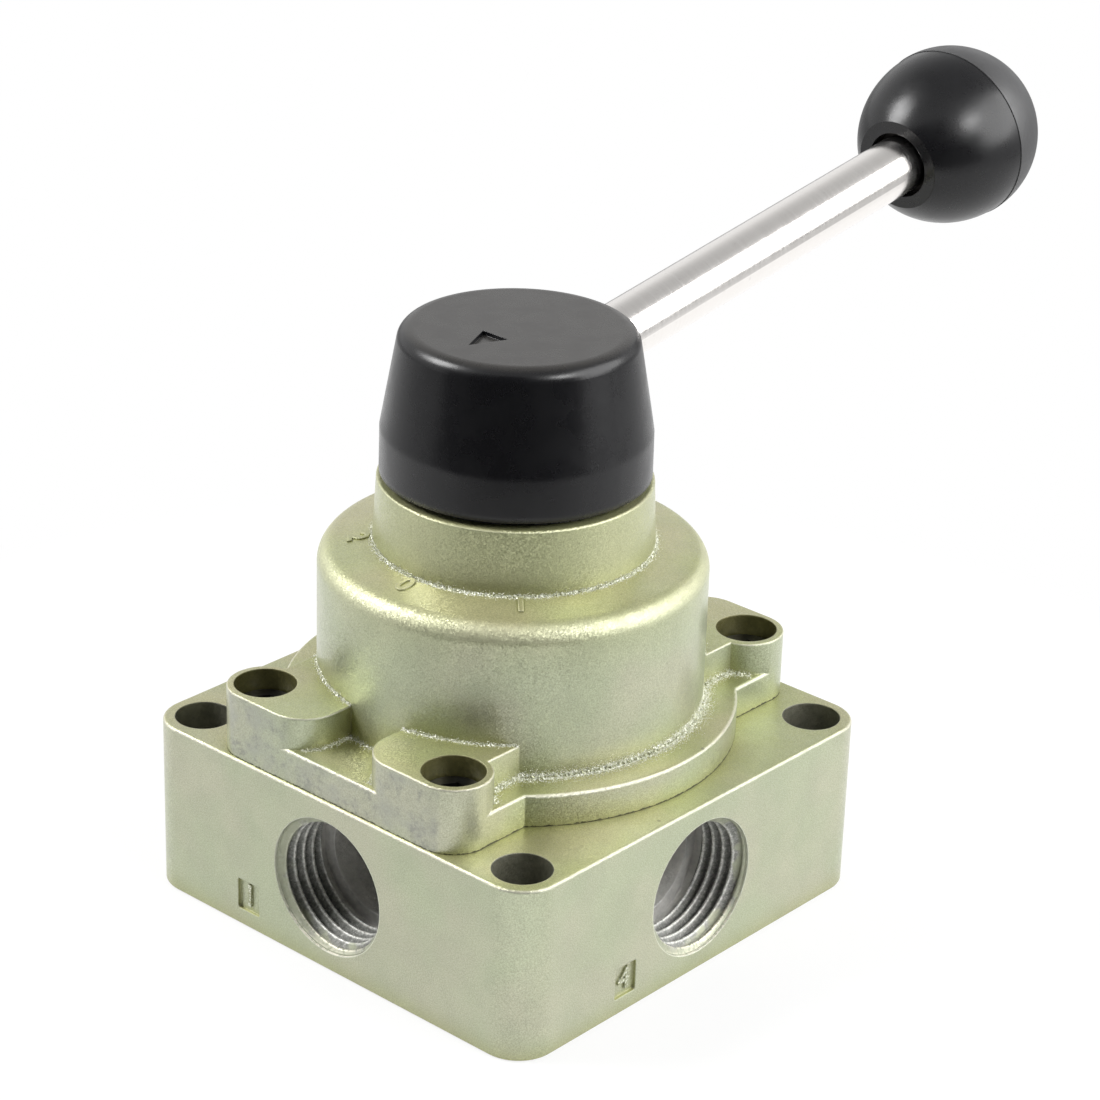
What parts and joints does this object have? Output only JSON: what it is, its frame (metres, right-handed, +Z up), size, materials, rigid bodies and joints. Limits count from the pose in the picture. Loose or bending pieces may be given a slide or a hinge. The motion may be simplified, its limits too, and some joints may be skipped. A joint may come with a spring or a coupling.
{
  "type": "hand lever air valve",
  "caption": "Hand-operated rotary slide valve: a square ported block, a domed bonnet and a black cap with a slanted plated lever ending in a ball knob.",
  "frame": {"origin": "centre of the block's flat underside", "axes": "+Z up along the shaft, +Y along the lever at rest, the supply port faces -Y"},
  "size_m": [0.075, 0.1519, 0.1079],
  "materials": {
    "casting": "die-cast, champagne metallic paint",
    "bare_alloy": "machined",
    "steel": "ground",
    "screw_steel": "blackened",
    "bronze": "sintered bronze",
    "brass": "turned and blackened",
    "seal_rubber": "smooth nitrile",
    "disc_plastic": "machined acetal",
    "cap_black": "satin",
    "plated_rod": "plated steel",
    "knob_black": "polished",
    "knob_end_black": "moulded satin"
  },
  "bodies": {
    "valve_body": {"valve_base": "casting", "seat_plate": "steel", "seat_dowels": "steel", "port_seals": "seal_rubber", "bonnet_seal": "seal_rubber", "bonnet": "casting", "bonnet_screws": "screw_steel", "shaft_bush": "bronze", "detent_ring": "steel"},
    "lever": {"slide_disc": "disc_plastic", "disc_spring": "steel", "drive_pins": "steel", "shaft": "steel", "shaft_seal": "seal_rubber", "thrust_washer": "disc_plastic", "rotor_hub": "bare_alloy", "hub_screw": "screw_steel", "knob_cap": "cap_black", "lever_rod": "plated_rod", "ball_knob": "knob_black", "knob_insert": "brass", "knob_end": "knob_end_black", "detent_spring_right": "steel", "detent_spring_left": "steel"},
    "right_detent_ball": {"detent_ball_right": "steel"},
    "left_detent_ball": {"detent_ball_left": "steel"}
  },
  "joints": [
    {"name": "lever_turn", "type": "hinge", "parent": "valve_body", "child": "lever", "pos_m": [0, 0, 0.07811], "axis": [0, 0, 1], "range_deg": [-45, 45]},
    {"name": "right_ball_slide", "type": "slide", "parent": "lever", "child": "right_detent_ball", "axis": [1, 0, 0], "range_m": [0, 0.001]},
    {"name": "left_ball_slide", "type": "slide", "parent": "lever", "child": "left_detent_ball", "axis": [-1, 0, 0], "range_m": [0, 0.001]}
  ]
}
